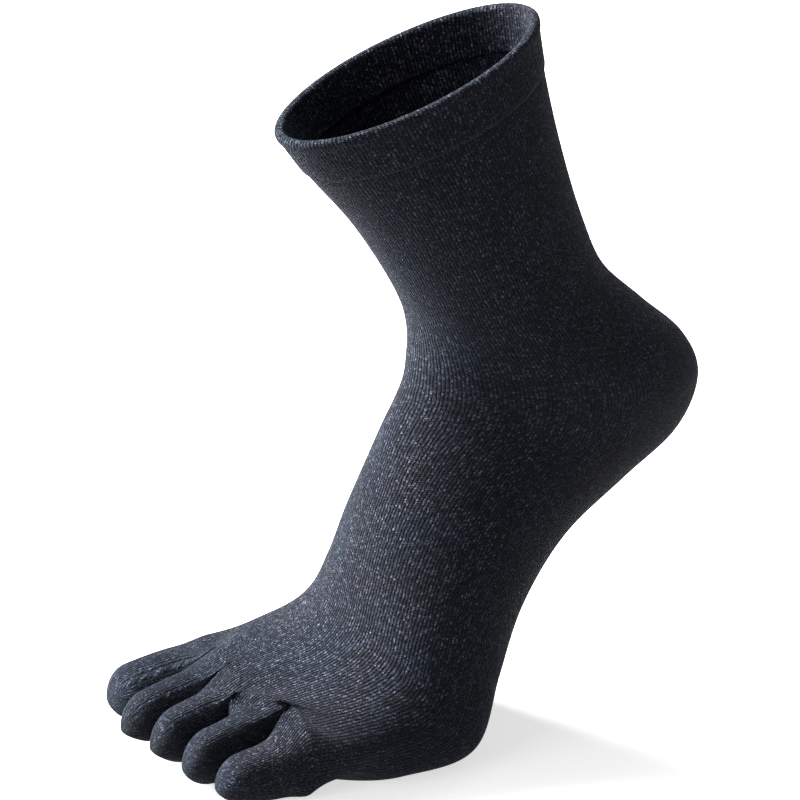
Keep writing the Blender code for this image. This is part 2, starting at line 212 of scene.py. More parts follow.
def toe_line(column):
    """One sine arch over and one under each toe: level at a web, upright at the foot's own sides."""
    column = np.mod(column, 2 * HALF_ROUND)
    over = column <= HALF_ROUND
    across = np.where(over, column, 2 * HALF_ROUND - column)
    k = np.clip(np.searchsorted(TOE_STARTS, across, side="right") - 1, 0, len(TOES) - 1)
    toe = {name: values[k] for name, values in TOE_ROWS.items()}
    share = np.clip((across - TOE_STARTS[k]) / toe["columns"], 0, 1)
    side = toe["inner"] + (toe["outer"] - toe["inner"]) * (1 - np.cos(np.pi * share)) / 2
    depth = toe["inner_line"] + (toe["outer_line"] - toe["inner_line"]) * share
    outside = np.where(share < 0.5, k == 0, k == len(TOES) - 1)
    arch = np.clip(np.sin(np.pi * np.where(outside, share, (1 - np.cos(np.pi * share)) / 2)), 0, 1)
    web = np.where(share < 0.5, toe["inner_web"], toe["outer_web"])
    top = web + (toe["root_top"] - web) * arch**ARCH_POWER
    cleft = SOLE_CLEFT * TOE_HEIGHT
    inner_cleft = np.where(k == 0, toe["inner_web"], cleft)
    outer_cleft = np.where(k == len(TOES) - 1, toe["outer_web"], cleft)
    bottom = np.where(share < 0.5, inner_cleft, outer_cleft) * (1 - arch**UNDER_POWER)
    return np.stack([side, depth, np.where(over, top, bottom)], axis=-1)


def tube(row, column):
    """plain_tube + (toe_line - its end) x share ** SCALLOP_POWER over the last SCALLOP_ROWS rows."""
    row, column = np.broadcast_arrays(np.asarray(row, float), np.asarray(column, float))
    end = toe_line(column) - plain_tube(np.full_like(row, LAST_ROW), column)
    share = np.clip((row - (LAST_ROW - SCALLOP_ROWS)) / SCALLOP_ROWS, 0, 1)[..., None]
    return plain_tube(row, column) + end * share**SCALLOP_POWER


def tube_normals(row, column):
    """Unit normals: the cross product of a small step along the tube and a small step round it."""
    row, column = np.broadcast_arrays(np.asarray(row, float), np.asarray(column, float))
    along = tube(np.minimum(row + STEP, LAST_ROW), column) - tube(np.maximum(row - STEP, 0), column)
    across = tube(row, column + STEP) - tube(row, column - STEP)
    return unit(np.cross(along, across))


def unit(vectors):
    """Each vector over its own length."""
    return vectors / np.maximum(np.linalg.norm(vectors, axis=-1, keepdims=True), 1e-12)


def round_normals(points):
    """Unit normals of a grid whose last column is its first: the summed crosses of a point's four faces."""
    down, over = np.diff(points, axis=0), np.diff(points, axis=1)
    faces = np.cross(down[:, 1:] + down[:, :-1], over[1:] + over[:-1])
    faces = np.concatenate([faces[:, -1:], faces, faces[:, :1]], axis=1)
    faces = np.concatenate([faces[:1], faces, faces[-1:]])
    return unit(faces[1:, 1:] + faces[:-1, 1:] + faces[1:, :-1] + faces[:-1, :-1])


ball = tube(list(SECTIONS).index("ball"), np.linspace(0, 2 * HALF_ROUND, 200))
print("ball is", (np.ptp(ball[:, 0]) * 1000).round(1), "mm wide")

# %% [markdown]
# ## Wales and courses
#
# A tube knitter has a fixed ring of needles, so the number of wales round the tube never changes: cloth that
# goes round a wider place is stretched. Half of them run over the instep and half under the sole. A wale's
# number is therefore the share of the half ring's length times half the needles. A course's number is the
# length run along the tube over the course pitch.

# %% Knit coordinates
FINE_PER_ROW = 16
FINE_PER_COLUMN = 12
COURSE_WINDOW = 11
FINE_ROWS = np.linspace(0, LAST_ROW, FINE_PER_ROW * LAST_ROW + 1)
FINE_COLUMNS = np.linspace(0, 2 * HALF_ROUND, 2 * HALF_ROUND * FINE_PER_COLUMN + 1)


def knit_tables():
    """Wale: share of the half ring x half the needles. Course: evened length run / pitch."""
    points = tube(FINE_ROWS[:, None], FINE_COLUMNS[None, :])
    round_steps = np.linalg.norm(np.diff(points, axis=1), axis=-1)
    half = round_steps.shape[1] // 2
    wales = []
    for side, part in enumerate((round_steps[:, :half], round_steps[:, half:])):
        run = np.concatenate([np.zeros((len(part), 1)), np.cumsum(part, axis=1)], axis=1)
        wales.append((side + run / run[:, -1:]) * WALES_ROUND / 2)
    wale = np.concatenate([wales[0][:, :-1], wales[1]], axis=1)
    row_steps = np.linalg.norm(np.diff(points, axis=0), axis=-1)
    run = np.concatenate([np.zeros((1, row_steps.shape[1])), np.cumsum(row_steps, axis=0)], axis=0)
    reach = COURSE_WINDOW * FINE_PER_COLUMN
    wrapped = np.concatenate([run[:, -1 - reach:-1], run, run[:, 1:1 + reach]], axis=1)
    total = np.concatenate([np.zeros((len(run), 1)), np.cumsum(wrapped, axis=1)], axis=1)
    course = (total[:, 2 * reach + 1:] - total[:, :-(2 * reach + 1)]) / (2 * reach + 1) / COURSE_PITCH
    return wale, course


WALE_TABLE, COURSE_TABLE = knit_tables()


def looked_up(table, row, column):
    """A table's value between its grid points: the four nearest, each weighted by its nearness."""
    row, column = np.broadcast_arrays(row, column)
    y = np.clip(row / LAST_ROW, 0, 1) * (len(FINE_ROWS) - 1)
    x = np.clip(column / (2 * HALF_ROUND), 0, 1) * (len(FINE_COLUMNS) - 1)
    i, j = np.minimum(y.astype(int), len(FINE_ROWS) - 2), np.minimum(x.astype(int), len(FINE_COLUMNS) - 2)
    y, x = y - i, x - j
    near = table[i, j] * (1 - x) + table[i, j + 1] * x
    far = table[i + 1, j] * (1 - x) + table[i + 1, j + 1] * x
    return near * (1 - y) + far * y


last_courses = COURSE_TABLE[-1].round()
print("courses from the mouth to the toe line:", last_courses.min(), "to", last_courses.max())

# %% [markdown]
# ## From a grid to a piece of cloth
#
# Every piece is a grid of points with a wale and a course number at each. The numbers go into a UV map, so
# the knit stays on the cloth. A second map marks how far a point is, in millimetres, from the heel's gore or
# the welt's edge, and how clearly the ribs show there. The material darkens the colour near the gore, paints
# a shadow just under the welt's edge and paints the grooves between the ribs dark as clearly as the ribs
# show.
# A second sheet one wall inside the first, and a rim along each open edge, close the cloth. Neighbours take
# their normals from the one surface, so no seam shows between them. Solidify could give the wall too, but it
# works out its own normals at each piece's edge.

# %% Cloth maker
GORE_FAR = 20.0
WELD = 2e-6


def sheet_loops(index, values):
    """Each face's vertex numbers, UV values and corner count, without the points that a pole repeats."""
    corners = [index[:-1, :-1], index[1:, :-1], index[1:, 1:], index[:-1, 1:]]
    corners = np.stack(corners, axis=-1).reshape(-1, 4)
    parts = [values[:-1, :-1], values[1:, :-1], values[1:, 1:], values[:-1, 1:]]
    uv = np.stack(parts, axis=2).reshape(len(corners), 4, -1)
    kept = corners != np.roll(corners, -1, axis=1)
    whole = kept.sum(axis=1) >= 3
    corners, uv, kept = corners[whole], uv[whole], kept[whole]
    return corners[kept], uv[kept], kept.sum(axis=1)


def rim_loops(loops, uv, counts, inner_start):
    """A quad from each edge that only one face has to the same edge on the other side of the cloth."""
    ends = np.cumsum(counts)
    after = np.arange(1, len(loops) + 1)
    after[ends - 1] = ends - counts
    pairs = np.stack([loops, loops[after]], axis=1)
    _, place, times = np.unique(np.sort(pairs, axis=1), axis=0, return_index=True, return_counts=True)
    alone = place[times == 1]
    first, second = pairs[alone, 0], pairs[alone, 1]
    corners = np.stack([second, first, first + inner_start, second + inner_start], axis=1)
    near, far = uv[alone], uv[after[alone]]
    rim_uv = np.stack([far, near, near, far], axis=1).reshape(-1, uv.shape[-1])
    return corners.ravel(), rim_uv, np.full(len(alone), 4)


# gore and rib go into the second map: the colour is darkened where gore is small, which on the leg is a
# painted shadow under the welt, and rib sets how dark the grooves are painted.
def cloth(name, points, normals, wale, course, gore=GORE_FAR, rib=1.0, wall=CLOTH_WALL):
    """Outer sheet, inner sheet one wall inside it, and rims: a closed mesh with the smooth normals."""
    values = np.stack(np.broadcast_arrays(wale, course, gore, rib, points[..., 0])[:4], axis=-1)
    places = np.round(points.reshape(-1, 3) / WELD).astype(np.int64)
    _, first, index = np.unique(places, axis=0, return_index=True, return_inverse=True)
    index = index.reshape(points.shape[:2])
    total = np.zeros((len(first), 3))
    np.add.at(total, index.ravel(), normals.reshape(-1, 3))
    normal = unit(total)
    outer = points.reshape(-1, 3)[first] - ORIGIN
    loops, uv, counts = sheet_loops(index, values)
    if wall:
        back, back_uv, back_counts = sheet_loops(index[:, ::-1], values[:, ::-1])
        rim, rim_uv, rim_counts = rim_loops(loops, uv, counts, len(outer))
        loops = np.concatenate([loops, back + len(outer), rim])
        uv = np.concatenate([uv, back_uv, rim_uv])
        counts = np.concatenate([counts, back_counts, rim_counts])
        outer = np.concatenate([outer, outer - normal * wall])
        normal = np.concatenate([normal, -normal])
    mesh = bpy.data.meshes.new(name)
    mesh.vertices.add(len(outer))
    mesh.vertices.foreach_set("co", outer.astype(np.float32).ravel())
    mesh.loops.add(len(loops))
    mesh.loops.foreach_set("vertex_index", loops.astype(np.int32))
    mesh.polygons.add(len(counts))
    mesh.polygons.foreach_set("loop_start", (np.cumsum(counts) - counts).astype(np.int32))
    mesh.update(calc_edges=True)
    for layer, part in {"knit": uv[:, :2], "marks": uv[:, 2:]}.items():
        mesh.uv_layers.new(name=layer).data.foreach_set("uv", part.astype(np.float32).ravel())
    mesh.shade_smooth()
    mesh.normals_split_custom_set_from_vertices(normal)
    uses = np.zeros(len(mesh.edges), int)
    edges = np.empty(len(mesh.loops), np.int32)
    mesh.loops.foreach_get("edge_index", edges)
    np.add.at(uses, edges, 1)
    print(name, "has", len(mesh.polygons), "faces and", int((uses != 2).sum()), "open edges")
    piece = bpy.data.objects.new(name, mesh)
    bpy.context.scene.collection.objects.link(piece)
    return piece


def fitted(piece, node):
    """The piece stands for the CAD node and moves with the frame; the node's own part is hidden."""
    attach(piece, "root")
    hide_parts(node)
    print(piece.name, "stands for", node)


# %% [markdown]
# ## Leg, heel and foot
#
# The heel is a pocket of short courses between the leg and the sole. Its edges start at a corner on each side
# of the ankle, and its gore runs from corner to corner round the back. The leg and the foot end on the same
# curves, so the three pieces meet without a gap.

# %% Heel curves
HEEL_GORE_ROW = 7.2
HEEL_TOP_ROW = 5.0
HEEL_SOLE_ROW = 9.5
HEEL_FULLNESS = 0.8
HEEL_CORNER = HALF_ROUND + 2
PER_COLUMN = 7
ROUND = np.linspace(0, 2 * HALF_ROUND, 2 * HALF_ROUND * PER_COLUMN + 1)


def heel_spread(column):
    """0 over the instep, rising as a sine to 1 at the middle of the heel."""
    middle = 1.5 * HALF_ROUND
    share = 1 - np.abs(column - middle) / (middle - HEEL_CORNER)
    return np.sin(np.pi / 2 * np.clip(share, 0, 1)) ** HEEL_FULLNESS


def heel_top(column):
    """The leg's last row: the gore's row less the heel's spread above it."""
    return HEEL_GORE_ROW - (HEEL_GORE_ROW - HEEL_TOP_ROW) * heel_spread(column)


def heel_sole(column):
    """The foot's first row: the gore's row plus the heel's spread below it."""
    return HEEL_GORE_ROW + (HEEL_SOLE_ROW - HEEL_GORE_ROW) * heel_spread(column)


def rows_for(length, row, column):
    """A length over the tube's stretch per row at that place."""
    stretch = np.linalg.norm(tube(row + STEP, column) - tube(row - STEP, column), axis=-1)
    return length * 2 * STEP / stretch


def spread_rows(first, last, count):
    """count + 1 rows between two curves of rows."""
    return first + (last - first) * np.linspace(0, 1, count + 1)[:, None]


# %% Leg
LEG_COUNT = 90
LEG_START = 0.9
WELT_SHADE = 0.6
WELT_MIDDLE_ROW = 0.5
MILLIMETRE = 0.001
welt_middle = np.full_like(ROUND, WELT_MIDDLE_ROW)
welt_row = rows_for(WELT_HEIGHT, welt_middle, ROUND)
leg_rows = spread_rows(welt_row * LEG_START, heel_top(ROUND), LEG_COUNT)
below_welt = (leg_rows - welt_row) / rows_for(MILLIMETRE, welt_middle, ROUND)
# Near the welt's edge the leg's second map is small, so the colour gets a painted shadow just under the welt.
leg = cloth(
    "sock_leg", tube(leg_rows, ROUND), tube_normals(leg_rows, ROUND),
    looked_up(WALE_TABLE, leg_rows, ROUND), looked_up(COURSE_TABLE, leg_rows, ROUND),
    gore=WELT_SHADE * np.abs(below_welt),
)
fitted(leg, "leg")

# %% Foot
FOOT_COUNT = 130
foot_rows = spread_rows(heel_sole(ROUND), np.full_like(ROUND, LAST_ROW), FOOT_COUNT)
foot = cloth(
    "sock_foot", tube(foot_rows, ROUND), tube_normals(foot_rows, ROUND),
    looked_up(WALE_TABLE, foot_rows, ROUND), looked_up(COURSE_TABLE, foot_rows, ROUND), wall=FOOT_WALL,
)
fitted(foot, "foot")

# %% [markdown]
# ## The heel pocket
#
# In the pocket the wales lean towards the heel's tip above the gore and away from it below, because each
# course is shorter than the last and then longer again. So a wale's number here is its distance round from
# the middle of the heel, less a shear that grows with the distance from the gore.

# %% Heel
HEEL_COUNT = 60
HEEL_SHEAR = 0.9
LEAN_GROWTH = 2.5
COURSE_LEAN = 0.5
HEEL_WALES_PER_METRE = 1000
heel_columns = ROUND[(ROUND >= HEEL_CORNER) & (ROUND <= 3 * HALF_ROUND - HEEL_CORNER)]
heel_rows = spread_rows(heel_top(heel_columns), heel_sole(heel_columns), HEEL_COUNT)
heel_points = tube(heel_rows, heel_columns)


def from_middle(steps, middle, axis):
    """Length run along an axis of the grid, counted from its middle line."""
    run = np.cumsum(steps, axis=axis)
    run = np.concatenate([np.zeros_like(np.take(run, [0], axis=axis)), run], axis=axis)
    return run - np.take(run, [middle], axis=axis)


gore_line = int(np.argmin(np.abs(heel_rows[:, len(heel_columns) // 2] - HEEL_GORE_ROW)))
round_run = from_middle(np.linalg.norm(np.diff(heel_points, axis=1), axis=-1), len(heel_columns) // 2, 1)
gore_run = from_middle(np.linalg.norm(np.diff(heel_points, axis=0), axis=-1), gore_line, 0)
round_share = np.abs(round_run) / np.abs(round_run).max()
lean = np.sin(np.pi / 2 * np.clip(LEAN_GROWTH * round_share, 0, 1))
sheared = round_run - np.sign(round_run) * HEEL_SHEAR * np.abs(gore_run) * lean
heel_wale = HEEL_WALES_PER_METRE * sheared + 2 * WALES_ROUND
lean_courses = HEEL_SHEAR * np.abs(round_run) / COURSE_PITCH * COURSE_LEAN * lean
heel_course = np.abs(gore_run) / COURSE_PITCH + lean_courses
heel_normals = tube_normals(heel_rows, heel_columns)
from_gore = np.abs(gore_run) / MILLIMETRE
heel = cloth("sock_heel", heel_points, heel_normals, heel_wale, heel_course, gore=from_gore)
fitted(heel, "heel")

# %% [markdown]
# ## The toes
#
# A toe starts as its ring on the toe line: the arch over it, the web beside it, the arch under it and the
# other web. Within two fifths of its length the ring turns into a rounded tube that is highest near the root
# and sinks to the tip, where the knitting narrows and closes. The foot's wales run on over the toe in the
# direction that they arrive in, and the webs have wales of their own.

# %% Toe surface
TOE_PITCH = 0.0011
TOE_ROUND = 2.3
TOE_CORNER = np.radians(50)
TIP_CAP = 0.0085
TIP_CAP_MOST = 0.46
TIP_POWER = 2.2
TIP_HEART = 0.46
TIP_CROWDING = 2.0
ROOT_EASE = 0.12
FLOW_END = 0.40
FLOW_COLUMNS = 1.2
TOE_BLEND = 0.4
WEB_COUNT = 18
TOE_COUNT = 64
COLUMN_STEP = 1e-6
TOE_CHANGES = {
    "root_sinking": (0.55, 0.0, 1.6),
    "top_drooping": (0.45, 1.0, 1.5),
    "sole_lifting": (0.35, 1.0, 1.5),
    "to_middle_width": (0.0, 0.5, 1.0),
    "to_tip_width": (0.5, 1.0, 1.0),
    "to_heart": (0.4, 1.0, 1.0),
}


def change(name, share):
    """How much of a named change a toe has gone through at a share of its length."""
    start, end, power = TOE_CHANGES[name]
    return np.clip((share - start) / (end - start), 0, 1) ** power


def toe_ring(k):
    """The ring at a toe's root: points, wales, courses, angles on the round tube, and the foot's columns."""
    start, end = TOE_STARTS[k], TOE_STARTS[k + 1]
    count = int(end - start) * PER_COLUMN + 1
    columns = np.linspace(start + COLUMN_STEP, end - COLUMN_STEP, count)
    below = 2 * HALF_ROUND - columns[::-1]
    over, under = toe_line(columns), toe_line(below)
    over_wale, under_wale = (looked_up(WALE_TABLE, LAST_ROW, part) for part in (columns, below))
    over_course, under_course = (looked_up(COURSE_TABLE, LAST_ROW, part) for part in (columns, below))
    inner_corner = np.pi if k == 0 else np.pi - TOE_CORNER
    outer_corner = 0.0 if k == len(TOES) - 1 else TOE_CORNER
    web = np.linspace(0, 1, WEB_COUNT + 1)[:, None]

    outer_gap = round(np.linalg.norm(under[0] - over[-1]) / TOE_PITCH)
    inner_gap = round(np.linalg.norm(over[0] - under[-1]) / TOE_PITCH)
    under_wale = under_wale - round(under_wale[0] - over_wale[-1] - outer_gap)
    turn = np.linspace(0, 1, len(columns))
    sides = [
        (over, over_wale, over_course, inner_corner + (outer_corner - inner_corner) * turn, columns),
        (
            over[-1] + (under[0] - over[-1]) * web,
            over_wale[-1] + (under_wale[0] - over_wale[-1]) * web[:, 0],
            over_course[-1] + (under_course[0] - over_course[-1]) * web[:, 0],
            outer_corner - 2 * outer_corner * web[:, 0],
            web[:, 0] * np.nan,
        ),
        (under, under_wale, under_course, -outer_corner - (inner_corner - outer_corner) * turn, below),
        (
            under[-1] + (over[0] - under[-1]) * web,
            under_wale[-1] + inner_gap * web[:, 0],
            under_course[-1] + (over_course[0] - under_course[-1]) * web[:, 0],
            -inner_corner - 2 * (np.pi - inner_corner) * web[:, 0],
            web[:, 0] * np.nan,
        ),
    ]
    if k == 0:
        sides = sides[:3]
    if k == len(TOES) - 1:
        sides = [sides[0], *sides[2:]]
    joined_sides = [[part if i == 0 else part[1:] for part in side] for i, side in enumerate(sides)]
    return [np.concatenate(parts) for parts in zip(*joined_sides)]


def toe_profile(toe, share):
    """Top, sole, width and middle height of a toe: its root, knuckle and tip values mixed by TOE_CHANGES."""
    root_width = toe["outer"] - toe["inner"]
    top = toe["knuckle_top"] + (toe["root_top"] - toe["knuckle_top"]) * change("root_sinking", share)
    top = top - (toe["knuckle_top"] - toe["tip_top"]) * change("top_drooping", share)
    bottom = toe["tip_lift"] * change("sole_lifting", share)
    width = root_width + (toe["middle_width"] - root_width) * change("to_middle_width", share)
    width = width + (toe["tip_width"] - toe["middle_width"]) * change("to_tip_width", share)
    heart = (top + bottom) / 2
    heart = heart + (TIP_HEART * toe["tip_top"] - heart) * change("to_heart", share)
    return top, bottom, width, heart


def toe_grid(k):
    """ring x (1 - blend) + rounded tube x blend, from the root to the closed tip."""
    toe = {name: values[k] for name, values in TOE_ROWS.items()}
    ring, wale, course, angle, columns = toe_ring(k)
    middle = (toe["inner"] + toe["outer"]) / 2
    line = (toe["inner_line"] + toe["outer_line"]) / 2
    share = (1 - (1 - np.linspace(0, 1, TOE_COUNT + 1)) ** TIP_CROWDING)[:, None]
    cap = min(TIP_CAP_MOST, TIP_CAP / (line - toe["tip"]))
    closing = np.sqrt(1 - np.clip((share - (1 - cap)) / cap, 0, 1) ** TIP_POWER)
    top, bottom, width, heart = toe_profile(toe, share)
    radius = (np.abs(np.cos(angle)) ** TOE_ROUND + np.abs(np.sin(angle)) ** TOE_ROUND) ** (-1 / TOE_ROUND)
    across, up = np.cos(angle) * radius, np.sin(angle) * radius
    drift, advance = (toe["tip_side"] - middle) * share, (toe["tip"] - line) * share
    x = middle + drift + width / 2 * closing * across
    z = heart + np.where(up > 0, top - heart, heart - bottom) * closing * up
    rounded = np.stack([x, line + advance + 0 * across, z], axis=-1)
    lowered = ring[:, 2] * (top / toe["root_top"] - 1)
    root = ring[None] + np.stack([drift + 0 * across, advance + 0 * across, lowered], axis=-1)
    on_foot = np.isfinite(columns)
    flow = np.zeros_like(ring)
    came = unit(tube(LAST_ROW, columns[on_foot]) - tube(LAST_ROW - STEP, columns[on_foot]))
    flow[on_foot] = came * (line - toe["tip"]) - np.array([toe["tip_side"] - middle, toe["tip"] - line, 0])
    from_web = np.abs(np.minimum(columns, 2 * HALF_ROUND - columns)[:, None] - TOE_STARTS[1:-1]).min(axis=1)
    flow *= np.clip(np.nan_to_num(from_web) / FLOW_COLUMNS, 0, 1)[:, None]
    root = root + flow * (share * np.clip(1 - share / FLOW_END, 0, 1) ** 2)[..., None]
    blend = np.clip(share / TOE_BLEND, 0, 1)
    blend = (blend * blend * (3 - 2 * blend))[..., None]
    points = root * (1 - blend) + rounded * blend
    normals = round_normals(points)
    kept = (np.clip(1 - share / ROOT_EASE, 0, 1) ** 2)[..., None]
    foot_normals = tube_normals(LAST_ROW, columns[on_foot])
    normals[:, on_foot] = unit(foot_normals * kept + normals[:, on_foot] * (1 - kept))
    normals[-1] = unit(normals[-2].mean(axis=0))
    return points, normals, wale, course, share


# %% Toes
# Over the last part of each toe the painted shade in the grooves fades out towards the tip.
TIP_SHADE_FADE_START = 0.70
for k, name in enumerate(TOES):
    points, normals, wale, root_course, share = toe_grid(k)
    steps = np.linalg.norm(np.diff(points, axis=0), axis=-1).mean(axis=1)
    course = root_course + np.concatenate([[0], np.cumsum(steps)])[:, None] / COURSE_PITCH
    rib = 1 - np.clip((share - TIP_SHADE_FADE_START) / (1 - TIP_SHADE_FADE_START), 0, 1)
    piece = cloth("sock_" + name, points, normals, wale[None, :], course, rib=rib, wall=FOOT_WALL)
    fitted(piece, name)

# %% [markdown]
# ## The welt
#
# The top edge is a turned band: the cloth is folded over and caught on its own inside, so it is twice as
# thick, rolls over at the rim and ends outside in a small step. It is drawn as one closed profile, given as
# the distance below the rim and the height over the leg's surface, and swept round the mouth.

# %% Welt
RIM_COUNT = 9
SIDE_COUNT = 22
SWELL_RUN = 0.0012
ROLL_HEIGHT = 0.0004
ROLL_RUN = 0.0016
turn = np.linspace(0, np.pi, RIM_COUNT)[1:-1]
outside = np.linspace(WELT_HEIGHT, RIM_RADIUS, SIDE_COUNT)
inside = np.linspace(RIM_RADIUS, WELT_HEIGHT, SIDE_COUNT)
swell = WELT_STEP * np.clip((WELT_HEIGHT - outside) / SWELL_RUN, 0, 1) ** 0.5
roll = ROLL_HEIGHT * np.exp(-((outside - 1.5 * RIM_RADIUS) / ROLL_RUN) ** 2)
middle_height = WELT_STEP - RIM_RADIUS
depth = np.concatenate([outside, RIM_RADIUS - RIM_RADIUS * np.sin(turn), inside])
height = np.concatenate([
    swell + roll,
    middle_height + RIM_RADIUS * np.cos(turn) + roll[-1] * np.cos(turn),
    np.full_like(inside, middle_height - RIM_RADIUS - roll[-1]),
])
welt_rows = rows_for(depth[:, None], np.full((len(depth), len(ROUND)), WELT_MIDDLE_ROW), ROUND)
skin = tube(welt_rows, ROUND)
side = tube_normals(WELT_MIDDLE_ROW, ROUND)
welt_points = skin + side * height[:, None, None]
welt_points = np.concatenate([welt_points, welt_points[:1]])
profile_steps = np.linalg.norm(np.diff(welt_points, axis=0), axis=-1).mean(axis=1)
welt_course = -np.concatenate([[0], np.cumsum(profile_steps)])[:, None] / COURSE_PITCH
welt_wale = np.broadcast_to(looked_up(WALE_TABLE, WELT_MIDDLE_ROW, ROUND), welt_points.shape[:2])
welt_normals = round_normals(welt_points)
welt = cloth("sock_welt", welt_points, welt_normals, welt_wale, welt_course, wall=0)
fitted(welt, "welt")

# %% [markdown]
# ## The jersey
#
# Jersey is columns of V-shaped stitches. Across a wale the yarn stands up in a round rib with a groove on
# each side, and along it each V leans forward at its sides. Beside that relief, the colour has painted shade
# in the grooves and painted light on the raised part of each stitch. The yarn is spun from dark navy and pale
# grey fibres, so each stitch has its own tone, with pale flecks where a light fibre comes to the surface.
# Short fibres stand off the cloth and catch light at its edges, which the sheen layer gives.

# %% Shader helpers
class Graph:
    """Short names for a material's nodes."""

    def __init__(self, name):
        self.material = bpy.data.materials.new(name)
        self.material.use_nodes = True
        self.nodes = self.material.node_tree.nodes
        self.links = self.material.node_tree.links
        self.shader = self.nodes["Principled BSDF"]

    def add(self, kind, values=(), out=0, **settings):
        """A node with its settings and its inputs, which are constants or sockets of other nodes."""
        node = self.nodes.new(kind)
        for name, value in settings.items():
            setattr(node, name, value)
        for name, value in dict(values).items():
            if isinstance(value, bpy.types.NodeSocket):
                self.links.new(value, node.inputs[name])
            else:
                node.inputs[name].default_value = value
        return node.outputs[out]

    def math(self, operation, *values):
        """A Math node on one or two values."""
        return self.add("ShaderNodeMath", dict(enumerate(values)), operation=operation)

    def mapped(self, value, low, high, new_low, new_high):
        """The value carried from low..high to new_low..new_high, and held at those ends."""
        values = {0: value, 1: low, 2: high, 3: new_low, 4: new_high}
        return self.add("ShaderNodeMapRange", values)

    def ramp(self, value, stops):
        """A colour ramp from a list of (position, colour)."""
        node = self.nodes.new("ShaderNodeValToRGB")
        elements = node.color_ramp.elements
        while len(elements) < len(stops):
            elements.new(0.5)
        for element, (position, colour) in zip(elements, stops):
            element.position = position
            element.color = (*colour, 1.0)
        self.links.new(value, node.inputs[0])
        return node.outputs[0]

    def tinted(self, how, share, first, second):
        """Two colours mixed in the way that how names."""
        values = {0: share, 6: first, 7: second}
        return self.add("ShaderNodeMix", values, 2, data_type="RGBA", blend_type=how)


# %% Jersey material
NAVY = (0.0008, 0.0012, 0.0026)
SLATE = (0.0052, 0.0070, 0.0125)
STEEL = (0.034, 0.044, 0.064)
FLECK = (0.250, 0.300, 0.370)
HEATHER = [(0.22, NAVY), (0.50, SLATE), (0.72, STEEL), (0.93, FLECK)]
TINTS = [(0.40, (0.90, 0.97, 1.10)), (0.62, (1.10, 0.94, 1.02))]
WAVER_SCALE, WAVER = 260.0, 0.8
SHAKE_SCALE, SHAKE = 1500.0, 0.55
FUZZ_SCALE, FUZZ = 2600.0, 0.25
FIBRE_SCALE, FIBRE_LEVEL, FIBRE = 2100.0, 0.24, 1.55
CLOUD_SCALE, CLOUD = 45.0, 0.12
TINT_SCALE = 38.0
V_LEAN = 0.5
RIB_POWER = 2.2
RIB_BASE, RIB_STITCH = 0.62, 0.38
OWN_SHADE = 0.30
# The grooves between the ribs get painted shade, and each stitch's raised part painted light, in the colour.
GROOVE_SHADE_POWER = 1.3
GROOVE_SHADE_LEAST, GROOVE_SHADE_MORE = 0.35, 0.64
STITCH_PAINTED_SHADE, STITCH_PAINTED_LIGHT = 0.75, 0.6
# The next value darkens the colour along the heel's gore and paints a shadow just under the welt's edge.
GORE_DARK_AND_WELT_SHADOW = 0.30
BUMP_STRENGTH = 0.9
BUMP_DEPTH = 0.0006
FINISH = {
    "Roughness": 0.88,
    "Specular IOR Level": 0.12,
    "Sheen Weight": 0.07,
    "Sheen Roughness": 0.4,
    "Sheen Tint": (0.62, 0.72, 0.86, 1.0),
}


def noise(g, scale, detail=2.0, rough=0.5):
    """Noise on the piece's own coordinates, from 0 to 1."""
    place = g.add("ShaderNodeTexCoord", out=3)
    values = {"Vector": place, "Scale": scale, "Detail": detail, "Roughness": rough}
    return g.add("ShaderNodeTexNoise", values)


def swing(g, scale, amount):
    """(noise - 0.5) x amount."""
    return g.math("MULTIPLY", g.math("SUBTRACT", noise(g, scale), 0.5), amount)


def stitches(g):
    """Wale and course numbers, shaken a little, the distance across a wale, and a wave along it."""
    knit = g.add("ShaderNodeSeparateXYZ", {0: g.add("ShaderNodeUVMap", uv_map="knit")}).node.outputs
    shake = swing(g, SHAKE_SCALE, SHAKE)
    wale = g.math("ADD", g.math("ADD", knit[0], swing(g, WAVER_SCALE, WAVER)), shake)
    middle = g.math("SUBTRACT", g.math("FRACT", wale), 0.5)
    across = g.math("MULTIPLY", g.math("ABSOLUTE", middle), 2.0)
    course = g.math("ADD", g.math("ADD", knit[1], shake), g.math("MULTIPLY", across, V_LEAN))
    wave = g.math("COSINE", g.math("MULTIPLY", course, 2 * np.pi))
    stitch = g.math("ADD", 0.5, g.math("MULTIPLY", wave, 0.5))
    return wale, course, across, stitch


def heather(g, wale, course):
    """A ramp over each stitch's own shade + fibres + clouds, x a tint that changes slowly."""
    number = g.add("ShaderNodeCombineXYZ", {0: g.math("FLOOR", wale), 1: g.math("FLOOR", course)})
    own = g.add("ShaderNodeTexWhiteNoise", {"Vector": number}, noise_dimensions="2D")
    fibre = g.math("SUBTRACT", noise(g, FIBRE_SCALE, 3.0, 0.7), FIBRE_LEVEL)
    shade = g.math("ADD", g.math("MULTIPLY", own, OWN_SHADE), g.math("MULTIPLY", fibre, FIBRE))
    shade = g.math("ADD", shade, swing(g, CLOUD_SCALE, CLOUD))
    return g.tinted("MULTIPLY", 1.0, g.ramp(shade, HEATHER), g.ramp(noise(g, TINT_SCALE), TINTS))


